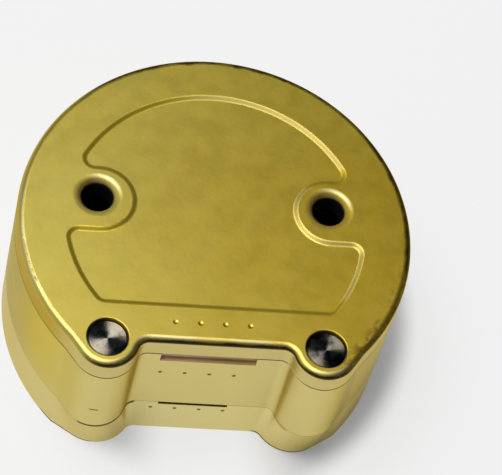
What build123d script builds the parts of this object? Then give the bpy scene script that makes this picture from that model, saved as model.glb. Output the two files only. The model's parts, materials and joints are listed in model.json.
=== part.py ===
from build123d import *
import os
from math import acos, atan2, cos, radians, sin, sqrt, tan

os.makedirs("parts", exist_ok=True)

# Brass dental flask, closed, in millimetres.
# The origin is the middle of the footprint, at the level of the bench. +Z is up, and the flat
# front wall between the two guide pins faces -Y. Plan sizes are taken from the axis of the round body.

# Plan of the outside
body_radius = 50.8
pin_inset = 7.07  # from the round wall to the axis of a guide pin
pin_angle = 38.97  # degrees, from the middle of the front to a guide pin
front_past_pins = 0.5  # the flat front wall lies this far in front of the pins' axes
lobe_radius = 8.3  # round corner lobe about each guide pin
lobe_blend = 3.0  # hollow between a lobe and the front wall

# The lobes of the lower half lean in towards the foot
foot_lobe_radius = 10.0
foot_lobe_in = 1.5
foot_lobe_back = 4.1

# Heights
lower_height = 14.4
ring_height = 26.0
lid_thickness = 6.6
floor_thickness = 4.5

# Mould chamber, measured at the parting face, where it is widest
round_wall = 6.4
front_wall = 6.2
boss_wall = 2.65  # brass round the bore of a guide pin
chamber_corner = 2.5
draft = 1.5  # degrees, so that the plaster leaves either half at the parting face

# Guide pins
pin_radius = 4.95
pin_seat = 11.0  # pressed this deep into the lower half
pin_running_clearance = 0.08
pin_lid_clearance = 0.25
pin_below_lid_face = 0.9
pin_nose = 0.3
pin_hole_break = 0.35

# Ejector holes, in the lid and in the floor of the lower half
hole_inset = 20.9  # from the round wall to the middle of a hole
hole_y = 6.9  # behind the axis
hole_shift = -0.4  # both holes were drilled a little to the left of their tongues
hole_radius = 4.0
lid_hole_round = 2.4
floor_hole_round = 1.3

# Sunk panel of the lid, repeated on the underside of the lower half
panel_reach = 8.8  # from the middle of a tongue's round end out to the panel's round edge
panel_back = 0.6  # centre of the panel's round edge, behind the axis
panel_from_front = 10.2  # from the front wall to the panel's straight edge
panel_depth = 0.6
panel_corner = 3.2
tongue_radius = 8.65  # the rim's level runs in round each ejector hole
tongue_y = 6.0  # behind the axis
panel_slope = 58.0  # degrees that the panel's wall leans outwards
panel_round = 0.9  # at the top and at the foot of that wall

# Loose ejector plate on the floor of the lower half
plate_thickness = 3.0
plate_clearance = 0.25
plate_edge = 0.5

# Edges, and the slots for the opening tool
lid_edge_round = 1.9
edge_break = 0.2
foot_edge_break = 0.5
slot_width = 24.4
slot_height = 3.5
slot_depth = 1.2
slot_x = -1.1
slit_width = 18.0
slit_height = 1.0
slit_depth = 2.5
slit_x = -1.8
lobe_step_height = 0.9
lobe_step_depth = 0.8

# Rows of small round punch marks, and a nick on the left lobe of the ring
mark_count = 4
mark_spacing = 6.3
mark_ball = 1.6  # radius of the punch's round point
mark_depth = 0.16
lid_mark_in = 5.7  # from the front wall to the row on the lid's rim
lid_mark_x = -1.1
wall_mark_x = -3.0
ring_mark_height = 30.7
lower_mark_height = 11.2
nick_width = 2.4
nick_height = 0.5
nick_depth = 0.35
nick_x = -1.0  # from the axis of the pin
nick_z = 23.0

# Worked out from the sizes above
pin_circle = body_radius - pin_inset
pin_x = pin_circle * sin(radians(pin_angle))
pin_y = pin_circle * cos(radians(pin_angle))
front_flat = pin_y + front_past_pins
hole_x = body_radius - hole_inset
panel_radius = hole_x + panel_reach
panel_front = front_flat - panel_from_front
axis_y = (pin_y + lobe_radius - body_radius) / 2
parting_z = lower_height
seam_z = lower_height + ring_height
top_z = seam_z + lid_thickness
chamber_radius = body_radius - round_wall
chamber_front = front_flat - front_wall
ring_bore = pin_radius + pin_running_clearance
lid_bore = pin_radius + pin_lid_clearance
boss_radius = ring_bore + boss_wall
floor_shrink = (lower_height - floor_thickness) * tan(radians(draft))
same_length = 0.001  # lengths that differ by less are taken as equal
pin_places = [(-pin_x, -pin_y), (pin_x, -pin_y)]
hole_places = [(hole_shift - hole_x, hole_y), (hole_shift + hole_x, hole_y)]


def level(height):
    """A horizontal plane whose own origin lies on the axis of the round body."""
    return Plane((0, axis_y, height))


def outline(height, lobe_x, lobe_y, lobe_r):
    """The flask in plan: a round wall that ends level with the flat front, a straight shoulder from
    there to each lobe, the lobe itself, and a hollow where the lobe meets the front."""
    corner = Vector(sqrt(body_radius**2 - front_flat**2), -front_flat)
    lobe = Vector(lobe_x, -lobe_y)

    # The hollow touches the front wall from outside and the lobe from beside it
    rise = lobe_y - front_flat - lobe_blend
    hollow = Vector(lobe_x - sqrt((lobe_r + lobe_blend) ** 2 - rise**2), -front_flat - lobe_blend)
    front_end = hollow + Vector(0, lobe_blend)
    flank = hollow + (lobe - hollow).normalized() * lobe_blend
    hollow_middle = hollow + (front_end + flank - hollow * 2).normalized() * lobe_blend

    # The shoulder touches the lobe and runs to the corner of the round wall
    reach = corner - lobe
    bearing = atan2(reach.Y, reach.X) - acos(lobe_r / reach.length)
    shoulder = lobe + Vector(cos(bearing), sin(bearing)) * lobe_r

    with BuildSketch(level(height)) as plan:
        with BuildLine():
            ThreePointArc(front_end, hollow_middle, flank)
            ThreePointArc(flank, lobe + Vector(0, -lobe_r), shoulder)
            Line(shoulder, corner)
            mirror(about=Plane.YZ)
            Line((-front_end.X, front_end.Y), front_end)
            ThreePointArc(corner, (0, body_radius), (-corner.X, corner.Y))
        make_face()
    return plan.sketch


def chamber(height, shrink=0):
    """The mould chamber in plan: round, flat in front, and bitten into by the bosses of the pins."""
    with BuildSketch(level(height)) as plan:
        Circle(chamber_radius - shrink)
        with Locations((0, shrink - chamber_front)):
            Rectangle(2 * pin_x, body_radius, align=(Align.CENTER, Align.MAX), mode=Mode.SUBTRACT)
        with Locations(*pin_places):
            Circle(boss_radius + shrink, mode=Mode.SUBTRACT)
        fillet(plan.vertices(), chamber_corner)
    return plan.sketch


def panel(height):
    """The sunk panel in plan: round, flat in front, with a tongue of the rim round each ejector hole."""
    with BuildSketch(level(height)) as plan:
        with Locations((0, panel_back)):
            Circle(panel_radius)
        with Locations((0, -panel_front)):
            Rectangle(
                2 * body_radius, body_radius, align=(Align.CENTER, Align.MAX), mode=Mode.SUBTRACT
            )
        for side in (-1, 1):
            with Locations((side * hole_x, tongue_y)):
                Circle(tongue_radius, mode=Mode.SUBTRACT)
            with Locations((side * (hole_x + body_radius / 2), tongue_y)):
                Rectangle(body_radius, 2 * tongue_radius, mode=Mode.SUBTRACT)
        centre = Vector(0, panel_back)
        on_edge = panel_radius - same_length
        corners = [v for v in plan.vertices() if (Vector(v) - centre).length > on_edge]
        fillet(corners, panel_corner)
    return plan.sketch


def rounds(part, radius, height):
    """The circular edges of one radius at one height."""
    return (
        part.edges()
        .filter_by(GeomType.CIRCLE)
        .filter_by(lambda e: abs(e.radius - radius) < same_length)
        .filter_by(lambda e: abs(e.center().Z - height) < same_length)
    )


def punch_row(x, y, z):
    """A row of small dents. The middle of the row of round points is at x, y, z."""
    with Locations((x, axis_y + y, z)):
        with GridLocations(mark_spacing, mark_spacing, mark_count, 1):
            Sphere(mark_ball, mode=Mode.SUBTRACT)


# Lower half: a cast cup with a floor, in which the ejector plate and the guide pins stand
with BuildPart() as lower_half:
    foot = outline(0, pin_x - foot_lobe_in, pin_y - foot_lobe_back, foot_lobe_radius)
    mouth = outline(parting_z, pin_x, pin_y, lobe_radius)
    loft([foot.face(), mouth.face()], ruled=True)
    chamfer(lower_half.faces().sort_by(Axis.Z)[0].outer_wire().edges(), foot_edge_break)
    extrude(chamber(parting_z), amount=floor_thickness - lower_height, taper=draft, mode=Mode.SUBTRACT)
    extrude(panel(0), amount=panel_depth, taper=panel_slope, mode=Mode.SUBTRACT)
    with BuildSketch(level(0)):
        with Locations(*hole_places):
            Circle(hole_radius)
    extrude(amount=floor_thickness, mode=Mode.SUBTRACT)
    fillet(rounds(lower_half, hole_radius, 0), floor_hole_round)
    with BuildSketch(level(parting_z)):
        with Locations(*pin_places):
            Circle(pin_radius)
    extrude(amount=-pin_seat, mode=Mode.SUBTRACT)
    # Slit for the opening tool, in the middle of the front
    with BuildSketch(level(parting_z)):
        with Locations((slit_x, -front_flat)):
            Rectangle(slit_width, 2 * slit_depth)
    extrude(amount=-slit_height, mode=Mode.SUBTRACT)
    # Narrow step round the nose of each lobe
    with BuildSketch():
        add(outline(parting_z, pin_x, pin_y, lobe_radius))
        add(outline(parting_z, pin_x, pin_y, lobe_radius - lobe_step_depth), mode=Mode.SUBTRACT)
    extrude(amount=-lobe_step_height, mode=Mode.SUBTRACT)
    punch_row(wall_mark_x, -front_flat - mark_ball + mark_depth, lower_mark_height)
lower_half.part.label = "lower_half"
export_step(lower_half.part, "parts/lower_half.step")

# Upper ring: the tall middle wall, bored to slide on the pins, with the tool slot under the lid
with BuildPart() as upper_ring:
    extrude(outline(parting_z, pin_x, pin_y, lobe_radius), amount=ring_height)
    chamfer(upper_ring.faces().sort_by(Axis.Z)[0].outer_wire().edges(), edge_break)
    chamfer(upper_ring.faces().sort_by(Axis.Z)[-1].outer_wire().edges(), edge_break)
    extrude(chamber(parting_z), amount=ring_height, taper=draft, mode=Mode.SUBTRACT)
    with BuildSketch(level(parting_z)):
        with Locations(*pin_places):
            Circle(ring_bore)
    extrude(amount=ring_height, mode=Mode.SUBTRACT)
    with BuildSketch(level(seam_z)):
        with Locations((slot_x, -front_flat)):
            Rectangle(slot_width, 2 * slot_depth)
    extrude(amount=-slot_height, mode=Mode.SUBTRACT)
    punch_row(wall_mark_x, -front_flat - mark_ball + mark_depth, ring_mark_height)
    with Locations((nick_x - pin_x, axis_y - pin_y - lobe_radius, nick_z)):
        Box(nick_width, 2 * nick_depth, nick_height, mode=Mode.SUBTRACT)
upper_ring.part.label = "upper_ring"
export_step(upper_ring.part, "parts/upper_ring.step")

# Lid: a cast plate with a sunk panel, held in place by the ends of the two pins
with BuildPart() as lid:
    extrude(outline(seam_z, pin_x, pin_y, lobe_radius), amount=lid_thickness)
    chamfer(lid.faces().sort_by(Axis.Z)[0].outer_wire().edges(), edge_break)
    fillet(lid.faces().sort_by(Axis.Z)[-1].outer_wire().edges(), lid_edge_round)
    extrude(panel(top_z), amount=-panel_depth, taper=panel_slope, mode=Mode.SUBTRACT)
    panel_floor = lid.faces().filter_by(Plane.XY).group_by(Axis.Z)[-2][0]
    fillet(panel_floor.outer_wire().edges(), panel_round)
    rim = lid.faces().filter_by(Plane.XY).sort_by(Axis.Z)[-1]
    fillet(rim.inner_wires()[0].edges(), panel_round)
    with BuildSketch(level(seam_z)):
        with Locations(*hole_places):
            Circle(hole_radius)
        with Locations(*pin_places):
            Circle(lid_bore)
    extrude(amount=lid_thickness, mode=Mode.SUBTRACT)
    fillet(rounds(lid, hole_radius, top_z), lid_hole_round)
    fillet(rounds(lid, lid_bore, top_z), pin_hole_break)
    punch_row(lid_mark_x, lid_mark_in - front_flat, top_z + mark_ball - mark_depth)
lid.part.label = "lid"
export_step(lid.part, "parts/lid.step")

# Ejector plate: lies loose on the floor and is pushed up through the two holes below it
with BuildPart() as ejector_plate:
    extrude(chamber(floor_thickness, floor_shrink + plate_clearance), amount=plate_thickness)
    chamfer(ejector_plate.faces().sort_by(Axis.Z)[0].outer_wire().edges(), plate_edge)
    chamfer(ejector_plate.faces().sort_by(Axis.Z)[-1].outer_wire().edges(), plate_edge)
ejector_plate.part.label = "ejector_plate"
export_step(ejector_plate.part, "parts/ejector_plate.step")

# Guide pins: turned steel, pressed into the lower half, and free in the ring and the lid
for side, (x, y) in zip(("left", "right"), pin_places):
    with BuildPart() as guide_pin:
        with BuildSketch(level(parting_z - pin_seat)):
            with Locations((x, y)):
                Circle(pin_radius)
        extrude(amount=pin_seat + ring_height + lid_thickness - pin_below_lid_face)
        chamfer(guide_pin.faces().sort_by(Axis.Z)[-1].edges(), pin_nose)
    guide_pin.part.label = f"guide_pin_{side}"
    export_step(guide_pin.part, f"parts/guide_pin_{side}.step")
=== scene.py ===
import json
from functools import reduce
from math import radians

import bpy
from mathutils import Matrix, Vector


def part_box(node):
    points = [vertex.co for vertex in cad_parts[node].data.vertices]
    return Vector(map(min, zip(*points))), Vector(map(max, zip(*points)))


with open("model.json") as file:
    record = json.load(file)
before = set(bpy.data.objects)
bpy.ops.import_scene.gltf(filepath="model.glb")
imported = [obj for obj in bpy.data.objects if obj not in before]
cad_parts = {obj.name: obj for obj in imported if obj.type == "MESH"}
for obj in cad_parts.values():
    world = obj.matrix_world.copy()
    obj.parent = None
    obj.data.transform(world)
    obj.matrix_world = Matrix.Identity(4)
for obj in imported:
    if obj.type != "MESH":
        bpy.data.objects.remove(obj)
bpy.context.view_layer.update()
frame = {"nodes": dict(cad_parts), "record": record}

# The lid is a plate of cast brass. Its top was ground and polished, and years of handling left it
# olive gold. Painted shade browns it towards the right, away from the lamp, and dark brown specks lie along
# the right rim.
LID_GOLD = (0.565, 0.460, 0.095)
LID_SHADE_BROWN = (0.51, 0.350, 0.026)
LID_BACK = (0.60, 0.46, 0.07)
SIDE_LEFT = (0.56, 0.40, 0.07)
SIDE_RIGHT = (0.69, 0.58, 0.24)
EDGE_HIGHLIGHT = (0.56, 0.49, 0.235)
SLOPE_SHADE_GOLD = (0.54, 0.40, 0.035)
SLOPE_HIGHLIGHT = (0.63, 0.50, 0.13)
EDGE_DARK_REFLECTION = (0.045, 0.028, 0.010)
RIM_SPECK_BROWN = (0.18, 0.10, 0.02)
HOLE_RIM_SHADOW = (0.30, 0.13, 0.03)
HOLE_RIM_HIGHLIGHT = (0.56, 0.50, 0.26)
HOLE_SHADE = (0.012, 0.008, 0.012)
LID_SHEEN = (0.85, 0.75, 0.45)  # the colour that it mirrors at a flat angle

LID_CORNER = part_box("lid")[1]
RIM_TOP = LID_CORNER.z
BODY_RADIUS = LID_CORNER.x
AXIS_Y = LID_CORNER.y - BODY_RADIUS  # where the axis of the round body stands
FRONT_Y = -0.03875  # the flat front wall
PANEL_TOP = RIM_TOP - 0.0006
PANEL_FRONT_Y = FRONT_Y + 0.01025
LEVEL = 0.000006  # points within this height of a level face belong to the face
RAGGED = 0.00012  # how far the border of the painted dark reflection strays up and down
HOLES = [
    mount["pos_m"][:2] for mount in frame["record"]["mounts"] if mount["name"].startswith("lid_hole")
]
HOLE_RADIUS = 0.0040
HOLE_REACH = HOLE_RADIUS + 0.0024  # to the outside of the rounded rim
TONGUE_LEFT, TONGUE_RIGHT = 0.0160, 0.0350  # the right tongue, where it joins the rim
TONGUE_SIDE, TONGUE_BACK = 0.0095, 0.0148


class Graph:
    """The nodes of a material or a world, added by name. An input is a number, a colour or an output."""

    def __init__(self, owner):
        owner.use_nodes = True
        self.owner = owner
        self.tree = owner.node_tree
        self.tree.nodes.clear()

    def put(self, socket, value):
        """Links an output to the socket, or sets the socket's own value."""
        if isinstance(value, bpy.types.NodeSocket):
            self.tree.links.new(value, socket)
        elif isinstance(value, (tuple, list)) and len(value) == 3 and len(socket.default_value) == 4:
            socket.default_value = (*value, 1.0)
        else:
            socket.default_value = value

    def node(self, kind, inputs=(), **settings):
        """A node with its settings and its inputs, given as pairs of socket name and value."""
        made = self.tree.nodes.new("ShaderNode" + kind)
        for key, value in settings.items():
            setattr(made, key, value)
        for key, value in dict(inputs).items():
            self.put(made.inputs[key], value)
        return made

    def place(self):
        """Object coordinates, in metres."""
        return self.node("TexCoord").outputs["Object"]

    def axes(self, vector):
        """The x, y and z of a vector."""
        return self.node("SeparateXYZ", {"Vector": vector}).outputs

    def math(self, operation, first, second, clamp=False):
        """One sum, product, comparison or the like of two numbers."""
        return self.node("Math", {0: first, 1: second}, operation=operation, use_clamp=clamp).outputs[0]

    def times(self, *numbers):
        """The product of the numbers."""
        return reduce(lambda first, second: self.math("MULTIPLY", first, second), numbers)

    def plus(self, *numbers):
        """The sum of the numbers."""
        return reduce(lambda first, second: self.math("ADD", first, second), numbers)

    def minus(self, first, second):
        """The first number less the second."""
        return self.math("SUBTRACT", first, second)

    def larger(self, first, second):
        """The larger of two numbers."""
        return self.math("MAXIMUM", first, second)

    def ramp(self, value, low, high, start=0.0, end=1.0):
        """A smooth step from start to end while the value goes from low to high."""
        limits = {"Value": value, "From Min": low, "From Max": high, "To Min": start, "To Max": end}
        return self.node("MapRange", limits, interpolation_type="SMOOTHSTEP").outputs["Result"]

    def band(self, value, low, high, soft, most=1.0):
        """The share most while the value lies between low and high, and 0 outside, over soft steps."""
        return self.times(self.ramp(value, low - soft, low, 0.0, most), self.ramp(value, high + soft, high))

    def distance(self, x, y, middle):
        """The distance from an upright line through the middle."""
        off = self.node("CombineXYZ", {0: self.minus(x, middle[0]), 1: self.minus(y, middle[1])})
        return self.node("VectorMath", {0: off.outputs[0]}, operation="LENGTH").outputs["Value"]

    def noise(self, size, detail=3.0, shift=(0.0, 0.0, 0.0)):
        """Soft noise from 0 to 1 whose lumps measure about size metres."""
        moved = self.node("Mapping", {"Vector": self.place(), "Location": shift}).outputs[0]
        settings = {"Vector": moved, "Scale": 1.0 / size, "Detail": detail, "Roughness": 0.55}
        return self.node("TexNoise", settings).outputs["Fac"]

    def mix(self, share, first, second):
        """Blend of two colours by the share of the second."""
        blend = {0: share, 6: first, 7: second}
        return self.node("Mix", blend, data_type="RGBA", clamp_factor=True).outputs[2]

    def bump(self, height, depth):
        """Relief of the given depth in metres from a height between 0 and 1."""
        return self.node("Bump", {"Height": height, "Distance": depth, "Strength": 1.0}).outputs[0]

    def shade(self, **inputs):
        """Ends the material with one surface shader; names are the shader's sockets, _ for a space."""
        named = {key.replace("_", " "): value for key, value in inputs.items()}
        surface = self.node("BsdfPrincipled", named)
        self.node("OutputMaterial", {"Surface": surface.outputs[0]})
        return self.owner


def finish_named(name):
    """A new, empty material to build."""
    return Graph(bpy.data.materials.new(name))


def dress(node, material):
    """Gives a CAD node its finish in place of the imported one."""
    mesh = frame["nodes"][node].data
    mesh.materials.clear()
    mesh.materials.append(material)


def brass(name, light, dark, seed, roughness, skin):
    """Handled cast brass. Colour: the light tone goes over to the dark one from left to right and
    with noise. Roughness: medium noise. Relief: fine noise, as deep as the skin of the casting is
    rough. Returns the graph, its colour, its roughness, its relief and the three coordinates."""
    look = finish_named(name)
    x, y, z = look.axes(look.place())
    side = look.ramp(x, -0.060, 0.045)
    cloud = look.noise(0.014, shift=seed)
    spot = look.noise(0.0028, detail=5.0, shift=seed)
    share = look.plus(look.times(side, 0.85), look.ramp(cloud, 0.3, 0.7, -0.04, 0.10))
    share = look.math("ADD", share, look.ramp(spot, 0.35, 0.75, -0.06, 0.10), clamp=True)
    colour = look.mix(share, light, dark)
    rough = look.plus(roughness, look.ramp(look.noise(0.006, shift=seed), 0.3, 0.7, -0.02, 0.03))
    relief = look.bump(look.noise(0.0011, detail=4.0, shift=seed), skin)
    return look, colour, rough, relief, (x, y, z)


# Painted shade: the lid's gold goes over to brown towards the right, away from the lamp.
look, colour, rough, relief, (x, y, z) = brass(
    "lid_brass", LID_GOLD, LID_SHADE_BROWN, seed=(0.0, 0.0, 0.0), roughness=0.42, skin=0.000014
)
from_axis = look.distance(x, y, (0.0, AXIS_Y))
on_round = look.ramp(from_axis, BODY_RADIUS - 0.0024, BODY_RADIUS - 0.0020)
on_front = look.ramp(y, FRONT_Y + 0.00225, FRONT_Y + 0.00185)
outer_edge = look.larger(on_round, on_front)

# The lid is a little brighter and yellower towards the back.
colour = look.mix(look.ramp(y, 0.005, 0.045, 0.0, 0.5), colour, LID_BACK)

# Its side wall has the paler skin of the ring, and is golden brown on the left.
side_tone = look.mix(look.ramp(x, -0.043, -0.034), SIDE_LEFT, SIDE_RIGHT)
colour = look.mix(look.ramp(z, RIM_TOP - 0.0009, RIM_TOP - 0.0013), colour, side_tone)

# A pale painted highlight lies in patches on the upper part of the rounded front and left edges.
crest = look.times(
    look.ramp(z, RIM_TOP - 0.00060, RIM_TOP - 0.00025), look.ramp(z, RIM_TOP - LEVEL, RIM_TOP - 2 * LEVEL)
)
left_part = look.times(look.ramp(x, -0.015, -0.025), look.ramp(y, 0.012, -0.004))
front_part = look.times(look.ramp(y, -0.030, -0.034), look.ramp(x, 0.036, 0.031))
patches = look.ramp(look.noise(0.010, detail=2.0), 0.35, 0.60, 0.35, 1.0)
edge_highlight = look.times(crest, outer_edge, look.larger(left_part, front_part), patches, 0.8)
colour = look.mix(edge_highlight, colour, EDGE_HIGHLIGHT)

# The sloped wall of the sunk panel has painted shade, browner than the lid, and a paler painted
# highlight on the right, where it faces the lamp, save along the front and behind the tongue there. A dull
# film covers part of it. The rims of the holes aren't part of it.
slope = look.band(z, PANEL_TOP + 2 * LEVEL, RIM_TOP - 2 * LEVEL, LEVEL)
slope = look.times(slope, look.minus(1.0, outer_edge), look.ramp(y, PANEL_FRONT_Y - 0.0005, PANEL_FRONT_Y))
from_holes = [look.distance(x, y, hole) for hole in HOLES]
for from_hole in from_holes:
    slope = look.times(slope, look.ramp(from_hole, HOLE_REACH + 0.0001, HOLE_REACH + 0.0004))
behind_front = look.times(look.ramp(x, -0.016, 0.002), look.ramp(y, -0.0255, -0.0225))
back_of_tongue = look.times(
    look.band(x, TONGUE_LEFT, TONGUE_RIGHT, 0.0012), look.band(y, TONGUE_SIDE, TONGUE_BACK, 0.0010)
)
highlight_part = look.times(behind_front, look.minus(1.0, back_of_tongue))
colour = look.mix(slope, colour, look.mix(highlight_part, SLOPE_SHADE_GOLD, SLOPE_HIGHLIGHT))
rough = look.plus(rough, look.times(slope, 0.08))
film = look.larger(look.times(highlight_part, look.ramp(y, 0.0140, 0.0165, 0.25, 0.6)), 0.25)
metallic = look.minus(1.0, look.times(slope, film))

# A painted dark reflection lies under the rounded outer edge, widest on the right, and not on the left.
front_right = look.times(look.ramp(x, 0.030, 0.036), look.ramp(y, -0.008, -0.020))
right_or_back = look.larger(look.ramp(x, 0.033, 0.037), look.ramp(y, 0.010, 0.030))
widening = look.times(look.minus(right_or_back, front_right), 0.0004)
straying = look.ramp(look.noise(0.004, detail=4.0), 0.3, 0.7, -RAGGED, RAGGED)
above_border = look.minus(z, look.plus(RIM_TOP - 0.0005, widening, straying))
edge_dark_reflection = look.times(
    look.ramp(above_border, RAGGED, -RAGGED),
    look.ramp(z, RIM_TOP - 0.0014, RIM_TOP - 0.0011),
    outer_edge,
    look.ramp(x, -0.036, -0.029),
    look.ramp(front_right, 0.0, 1.0, 0.9, 0.72),
)
colour = look.mix(edge_dark_reflection, colour, EDGE_DARK_REFLECTION)

# Dark brown specks lie along the right rim.
near_rim = look.ramp(from_axis, BODY_RADIUS - 0.0053, BODY_RADIUS - 0.0016)
on_right = look.times(look.ramp(x, 0.026, 0.036), look.ramp(y, -0.006, -0.022))
specks = look.ramp(look.noise(0.0024, detail=5.0), 0.38, 0.62)
rim_specks = look.times(near_rim, on_right, specks, look.ramp(z, RIM_TOP - 0.0012, RIM_TOP - 0.0006))
colour = look.mix(look.times(rim_specks, 0.8), colour, RIM_SPECK_BROWN)

# Each hole is painted dark inside as painted shade. Its rounded rim has a painted brown shadow on the
# left and a pale painted highlight at the back right, and is partly dull.
in_hole = 0.0
for (hole_x, hole_y), from_hole in zip(HOLES, from_holes):
    left_part = look.ramp(x, hole_x + 0.001, hole_x - 0.003)
    rim_shadow = look.ramp(from_hole, HOLE_REACH - 0.0009, HOLE_REACH - 0.0017, 0.0, 0.7)
    rim_shadow = look.times(rim_shadow, left_part)
    colour = look.mix(rim_shadow, colour, HOLE_RIM_SHADOW)
    back_part = look.ramp(y, hole_y - 0.001, hole_y + 0.003)
    rim_highlight = look.band(from_hole, HOLE_REACH - 0.0010, HOLE_REACH - 0.0004, 0.0004, 0.8)
    rim_highlight = look.times(rim_highlight, look.minus(1.0, left_part), back_part)
    colour = look.mix(rim_highlight, colour, HOLE_RIM_HIGHLIGHT)
    in_hole = look.plus(in_hole, look.ramp(from_hole, HOLE_RADIUS + 0.0006, HOLE_RADIUS + 0.0001))
    dull = look.ramp(from_hole, HOLE_REACH + 0.0002, HOLE_REACH - 0.0003, 0.0, 0.45)
    metallic = look.minus(metallic, dull)
colour = look.mix(in_hole, colour, HOLE_SHADE)
rough = look.plus(rough, look.times(look.larger(rim_specks, in_hole), 0.25))
lid_brass = look.shade(
    Base_Color=colour, Metallic=metallic, Roughness=rough, Normal=relief, Specular_Tint=LID_SHEEN
)
dress("lid", lid_brass)

# The upper ring is the tall middle wall, a casting of the same brass, ground flush with the lower
# half. It is paler than the lid and golden high up on the left. The shaded inside of the tool slot is
# painted pale reddish brown, as painted light bounced into it.
RING_LEFT = (0.72, 0.625, 0.26)
RING_RIGHT = (0.70, 0.605, 0.26)
RING_GOLD = (0.74, 0.62, 0.17)
RING_FADED = (0.56, 0.49, 0.24)
SEAM_DIRT = (0.28, 0.18, 0.03)
PUNCHED_DARK = (0.10, 0.08, 0.02)
SLOT_PAINTED_LIGHT_RED = (0.95, 0.68, 0.48)
SLOT_PAINTED_LIGHT_BROWN = (0.78, 0.58, 0.28)
RING_SHEEN = (0.68, 0.57, 0.30)

SEAM_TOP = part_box("upper_ring")[1].z
SLOT_LEFT = -0.0134
SLOT_RIGHT = 0.0112
SLOT_FLOOR = SEAM_TOP - 0.0036
MARKS_LEFT = -0.0140
MARKS_RIGHT = 0.0080
MARK_SIZE = 0.0018
RING_MARKS_LOW = 0.0298


def punched(look, x, y, z, low, most):
    """The floors of the row of punch marks whose lower edge is given, as a share up to most."""
    floors = look.band(y, FRONT_Y + 0.00008, FRONT_Y + 0.00030, 0.00002)
    heights = look.band(z, low, low + MARK_SIZE, 0.0001)
    return look.times(floors, heights, look.band(x, MARKS_LEFT, MARKS_RIGHT, 0.0005, most))


look, colour, rough, relief, (x, y, z) = brass(
    "ring_brass", RING_LEFT, RING_RIGHT, seed=(0.3, 0.1, 0.2), roughness=0.30, skin=0.000005
)
patches = look.ramp(look.noise(0.013, detail=2.0, shift=(0.1, 0.3, 0.0)), 0.30, 0.55, 0.55, 1.0)
golden = look.times(
    look.ramp(x, -0.032, -0.041), look.ramp(z, 0.014, 0.030), look.ramp(y, 0.020, -0.008), patches
)
colour = look.mix(golden, colour, RING_GOLD)
faded = look.times(look.ramp(x, -0.043, -0.050), patches)
colour = look.mix(look.times(faded, 0.6), colour, RING_FADED)
rough = look.plus(rough, look.times(faded, 0.2))
seam = look.times(look.ramp(z, SEAM_TOP - 0.0008, SEAM_TOP - 0.0002), look.ramp(x, -0.030, -0.036), 0.7)
colour = look.mix(seam, colour, SEAM_DIRT)
colour = look.mix(punched(look, x, y, z, RING_MARKS_LOW, 0.85), colour, PUNCHED_DARK)
# Painted light: the slot's shaded inside is painted pale reddish brown, paler on the left, and is not
# metal.
in_slot = look.times(
    look.band(y, FRONT_Y + 0.00007, FRONT_Y + 0.00135, 0.00005),
    look.band(x, SLOT_LEFT, SLOT_RIGHT, 0.0001),
    look.ramp(z, SLOT_FLOOR, SLOT_FLOOR + 0.00008),
)
colour = look.mix(in_slot, colour, look.mix(look.ramp(x, -0.010, 0.006), SLOT_PAINTED_LIGHT_RED, SLOT_PAINTED_LIGHT_BROWN))
ring_brass = look.shade(
    Base_Color=colour,
    Metallic=look.minus(1.0, in_slot),
    Roughness=rough,
    Normal=relief,
    Specular_Tint=RING_SHEEN,
)
dress("upper_ring", ring_brass)

# The lower half is the cup that the flask stands on, cast in the same brass. Painted shade darkens
# parts of the step round each lobe and parts under their feet, and dirt has settled in the row of punch
# marks.
LOWER_LEFT = (0.74, 0.66, 0.33)
LOWER_RIGHT = (0.78, 0.675, 0.29)
LOWER_SHADE_AND_DIRT = (0.05, 0.035, 0.015)
LOWER_SHEEN = (0.80, 0.68, 0.40)

PARTING_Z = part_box("lower_half")[1].z
LOWER_MARKS_LOW = 0.0103

look, colour, rough, relief, (x, y, z) = brass(
    "lower_brass", LOWER_LEFT, LOWER_RIGHT, seed=(0.5, 0.4, 0.1), roughness=0.32, skin=0.000005
)
# Painted shade in the step and at the feet, where shade falls; dirt in the punch marks.
by_step = look.plus(look.band(x, -0.0312, -0.0175, 0.001), look.band(x, 0.0195, 0.0220, 0.001, 0.4))
by_foot = look.plus(look.band(x, -0.0390, -0.0280, 0.002), look.band(x, 0.0165, 0.0290, 0.002))
in_step = look.times(look.ramp(z, PARTING_Z - 0.00105, PARTING_Z - 0.00095), by_step)
at_foot = look.times(look.band(z, 0.0004, 0.0009, 0.0003), by_foot)
shade_and_dirt = look.times(look.larger(in_step, at_foot), look.ramp(y, -0.032, -0.036, 0.0, 0.9))
shade_and_dirt = look.larger(shade_and_dirt, punched(look, x, y, z, LOWER_MARKS_LOW, 0.8))
colour = look.mix(shade_and_dirt, colour, LOWER_SHADE_AND_DIRT)
lower_brass = look.shade(
    Base_Color=colour, Metallic=1.0, Roughness=rough, Normal=relief, Specular_Tint=LOWER_SHEEN
)
dress("lower_half", lower_brass)

# The ejector plate is a loose brass plate inside the lower half. Plaster has dulled it.
PLATE_LEFT = (0.50, 0.42, 0.18)
PLATE_RIGHT = (0.36, 0.28, 0.10)
look, colour, rough, relief, _ = brass(
    "plate_brass", PLATE_LEFT, PLATE_RIGHT, seed=(0.7, 0.2, 0.6), roughness=0.5, skin=0.000018
)
dress("ejector_plate", look.shade(Base_Color=colour, Metallic=1.0, Roughness=rough, Normal=relief))
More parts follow.
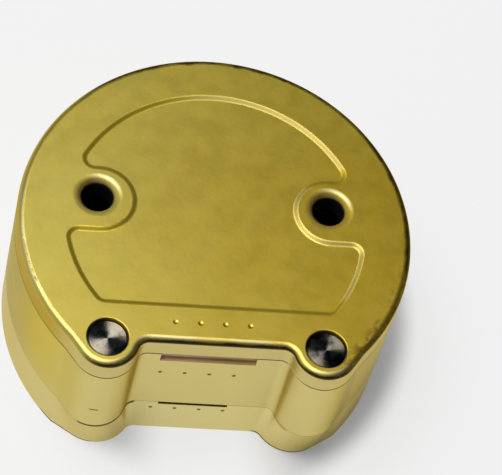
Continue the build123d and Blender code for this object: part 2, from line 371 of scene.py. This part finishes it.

# The guide pins are turned steel. Each end face keeps the fine rings of the lathe tool under dark
# bluish patches, partly stains and partly a painted dark reflection drawn to two opposite quarters. The
# right pin's end is painted darker still, as a painted dark reflection. The shafts are plain.
SHAFT_GREY = (0.42, 0.41, 0.38)
END_TONES = {
    "left": ((0.31, 0.275, 0.205), (0.045, 0.060, 0.064)),
    "right": ((0.17, 0.155, 0.110), (0.014, 0.015, 0.028)),
}
for side, (end_bright, end_stain_and_reflection) in END_TONES.items():
    pin_low, pin_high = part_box(f"guide_pin_{side}")
    middle = (pin_low + pin_high) / 2
    look = finish_named(f"pin_steel_{side}")
    centring = {"Vector": look.place(), "Location": (-middle.x, -middle.y, 0.0)}
    centred = look.node("Mapping", centring).outputs[0]
    rings = look.node(
        "TexWave",
        {"Vector": centred, "Scale": 700.0, "Distortion": 0.6, "Detail": 1.0},
        wave_type="RINGS",
        rings_direction="Z",
    )
    off_x, off_y, height = look.axes(centred)
    # Painted dark reflection: the patches gather in two opposite quarters, where the lathe rings mirror the
    # dim room.
    reflection_quarters = look.ramp(look.times(off_x, off_y), 0.000010, -0.000010, 0.0, 0.22)
    cloud = look.noise(0.0026, shift=(middle.x * 9.0, 0.9, 0.0))
    stain_and_reflection = look.ramp(look.plus(cloud, reflection_quarters), 0.46, 0.78)
    on_end = look.ramp(height, pin_high.z - 0.0030, pin_high.z - 0.0012)
    steel = look.shade(
        Base_Color=look.mix(on_end, SHAFT_GREY, look.mix(stain_and_reflection, end_bright, end_stain_and_reflection)),
        Metallic=1.0,
        Roughness=0.34,
        Anisotropic=1.0,
        Anisotropic_Rotation=0.25,
        Tangent=look.node("Tangent", direction_type="RADIAL", axis="Z").outputs[0],
        Normal=look.bump(rings.outputs["Fac"], 0.00003),
    )
    dress(f"guide_pin_{side}", steel)

# The pale table under the flask is partly a plain white that the camera and the metal see, and
# partly a floor that takes shadow, more so on the right and in front of the left lobe.
TABLE_REACH = 3.0
PAPER_WHITE = (0.89, 0.89, 0.885)
GLOW_WHITE = (0.92, 0.92, 0.915)
table = bpy.data.meshes.new("table")
corners = [(-1, -1), (1, -1), (1, 1), (-1, 1)]
table.from_pydata([(TABLE_REACH * x, TABLE_REACH * y, 0) for x, y in corners], [], [(0, 1, 2, 3)])
table_top = bpy.data.objects.new("table_top", table)
bpy.context.collection.objects.link(table_top)
look = finish_named("table_white")
paper = look.node("BsdfDiffuse", {"Color": PAPER_WHITE})
glow = look.node("Emission", {"Color": GLOW_WHITE})
x, y, _ = look.axes(look.place())
from_middle = look.distance(x, y, (0.0, 0.0))
to_right = look.times(look.ramp(x, 0.010, 0.030), look.ramp(from_middle, 0.063, 0.055))
near_lobe = look.times(look.band(x, -0.022, -0.020, 0.014, 0.7), look.ramp(from_middle, 0.056, 0.046))
by_lobe = look.times(near_lobe, look.ramp(y, -0.030, -0.035))
plain = look.minus(0.80, look.times(look.larger(to_right, by_lobe), 0.58))
path = look.node("LightPath").outputs
plain = look.times(look.larger(path["Is Camera Ray"], path["Is Glossy Ray"]), plain)
both = look.node("MixShader", {0: plain, 1: paper.outputs[0], 2: glow.outputs[0]})
look.node("OutputMaterial", {"Surface": both.outputs[0]})
table.materials.append(look.owner)

# The lamp is a broad round panel above the flask, a little to the left.
LAMP_AT = Vector((-0.3705, 0.0900, 1.4505))
LAMP_AIMED_AT = Vector((0, 0, 0.02))
LAMP_WIDTH = 1.1
LAMP_WATTS = 19.2
light = bpy.data.lights.new("window", "AREA")
light.shape = "DISK"
light.size = LAMP_WIDTH
light.energy = LAMP_WATTS
window = bpy.data.objects.new("window", light)
bpy.context.collection.objects.link(window)
window.location = LAMP_AT
window.rotation_euler = (LAMP_AIMED_AT - LAMP_AT).to_track_quat("-Z", "Y").to_euler()

# The room that the metal mirrors is dim, with a bright wall on the far left, a paler back and a
# ceiling that darkens to the right. Its dark parts are bluish. The camera sees plain white instead.
ROOM_BLUISH = (0.60, 0.75, 1.0)
ROOM_WHITE = (1.0, 1.0, 1.0)
bpy.context.scene.world = bpy.data.worlds.new("room")
look = Graph(bpy.context.scene.world)
x, y, z = look.axes(look.node("TexCoord").outputs["Generated"])
ceiling = look.ramp(x, -0.6, 0.7, 0.16, 0.05)
walls = look.plus(look.ramp(x, -0.90, -0.50, 0.70, 0.02), look.ramp(y, 0.3, 0.9, 0.0, 0.10))
grey = look.plus(look.times(look.ramp(z, 0.35, 0.70), look.minus(ceiling, walls)), walls)
tone = look.mix(look.ramp(grey, 0.05, 0.40), ROOM_BLUISH, ROOM_WHITE)
room = look.node("Background", {"Color": tone, "Strength": grey})
backdrop = look.node("Background", {"Color": PAPER_WHITE})
seen = look.node("LightPath").outputs["Is Camera Ray"]
both = look.node("MixShader", {0: seen, 1: room.outputs[0], 2: backdrop.outputs[0]})
look.node("OutputWorld", {"Surface": both.outputs[0]})

# The camera looks down on the flask from in front and a little to the left, rolled as it was held.
CAMERA_AT = Vector((-0.09883, -0.38877, 0.68752))
CAMERA_AIMED_AT = Vector((0.016834, 0.020730, 0.0))
CAMERA_ROLL = radians(17.0736)
SENSOR_WIDTH = 36.0  # millimetres
PHOTO_WIDTH = 502.0  # pixels
FOCAL_LENGTH = 2959.05  # pixels of the photograph
camera = bpy.data.cameras.new("camera")
camera.sensor_width = SENSOR_WIDTH
camera.lens = FOCAL_LENGTH * SENSOR_WIDTH / PHOTO_WIDTH
viewer = bpy.data.objects.new("camera", camera)
bpy.context.collection.objects.link(viewer)
bpy.context.scene.camera = viewer
level_view = (CAMERA_AIMED_AT - CAMERA_AT).to_track_quat("-Z", "Y").to_matrix().to_4x4()
roll = Matrix.Rotation(CAMERA_ROLL, 4, "Z")
viewer.matrix_world = Matrix.Translation(CAMERA_AT) @ level_view @ roll

bpy.context.scene.view_settings.view_transform = "Standard"
